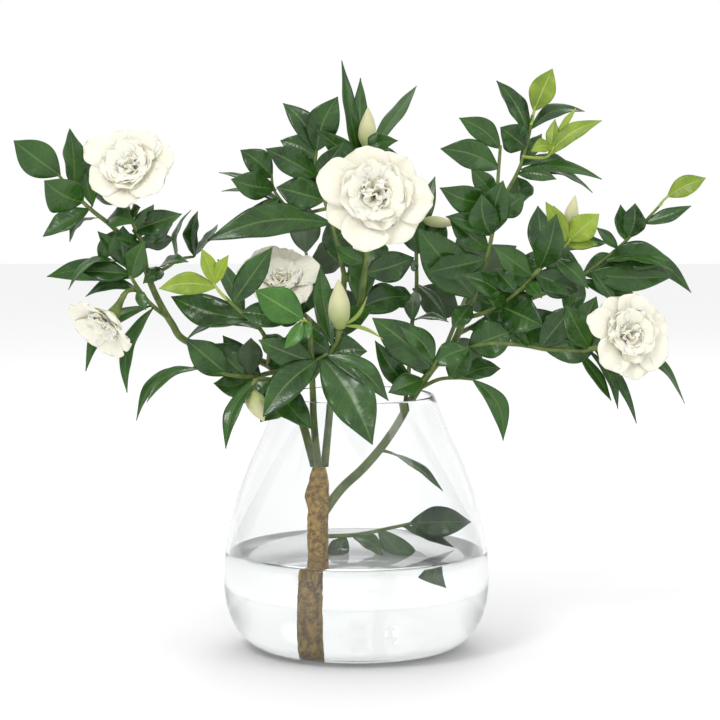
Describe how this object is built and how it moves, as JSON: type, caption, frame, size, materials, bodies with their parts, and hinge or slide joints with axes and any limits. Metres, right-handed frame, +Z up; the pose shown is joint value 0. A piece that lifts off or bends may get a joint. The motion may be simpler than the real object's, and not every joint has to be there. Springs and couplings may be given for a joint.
{
  "type": "gardenia branch in a vase",
  "caption": "Cut gardenia branch with open double blooms, closed buds and glossy leaves, standing in a round clear glass vase of water.",
  "frame": {"origin": "centre of the vase's flat foot, on the surface it stands on", "axes": "+Z up along the vase's axis, +X to the right along the arrangement's widest spread, -Y to the front, towards the viewer"},
  "size_m": [0.5113, 0.2297, 0.4413],
  "materials": {
    "clear_glass": "clear, polished",
    "clear_water": "clear liquid with a level surface",
    "tan_bark": "rough tan bark with pale specks",
    "green_stem": "satin green stem",
    "dark_leaf": "glossy dark green leaf with a pale midrib",
    "young_leaf": "lime green young leaf",
    "cream_petal": "soft cream white petal",
    "bud_cream": "furled cream bud with a green base"
  },
  "bodies": {
    "root": {"vase": "clear_glass", "water": "clear_water", "trunk": "tan_bark", "branch_left": "green_stem", "branch_middle": "green_stem", "branch_right": "green_stem", "branch_young": "green_stem", "stem_back_middle": "dark_leaf", "stem_back_right": "dark_leaf", "stem_bloom_back": "dark_leaf", "stem_bloom_hanging": "dark_leaf", "stem_bloom_left": "dark_leaf", "stem_bloom_top": "dark_leaf", "stem_bud_low": "dark_leaf", "stem_bud_middle": "dark_leaf", "stem_bud_right": "dark_leaf", "stem_crown": "dark_leaf", "stem_crown_left": "dark_leaf", "stem_dark": "dark_leaf", "stem_far_right": "dark_leaf", "stem_front": "dark_leaf", "stem_hanging": "dark_leaf", "stem_lime_left": "dark_leaf", "stem_low_left": "dark_leaf", "stem_low_right": "dark_leaf", "stem_mid_left": "dark_leaf", "stem_mid_right": "dark_leaf", "stem_side_left": "dark_leaf", "stem_thin_left": "dark_leaf", "stem_top_right": "dark_leaf", "stem_upper_left": "dark_leaf", "stem_vase": "dark_leaf", "stem_water": "dark_leaf", "stem_young": "dark_leaf", "lime_bud": "young_leaf", "lime_far": "young_leaf", "lime_hanging": "young_leaf", "lime_left": "young_leaf", "lime_top": "young_leaf", "lime_twisted": "young_leaf", "bloom_back": "cream_petal", "bloom_hanging": "cream_petal", "bloom_left": "cream_petal", "bloom_right": "cream_petal", "bloom_top": "cream_petal", "bud_crown": "bud_cream", "bud_low": "bud_cream", "bud_middle": "bud_cream", "bud_right": "bud_cream", "bud_small": "bud_cream"}
  },
  "joints": []
}
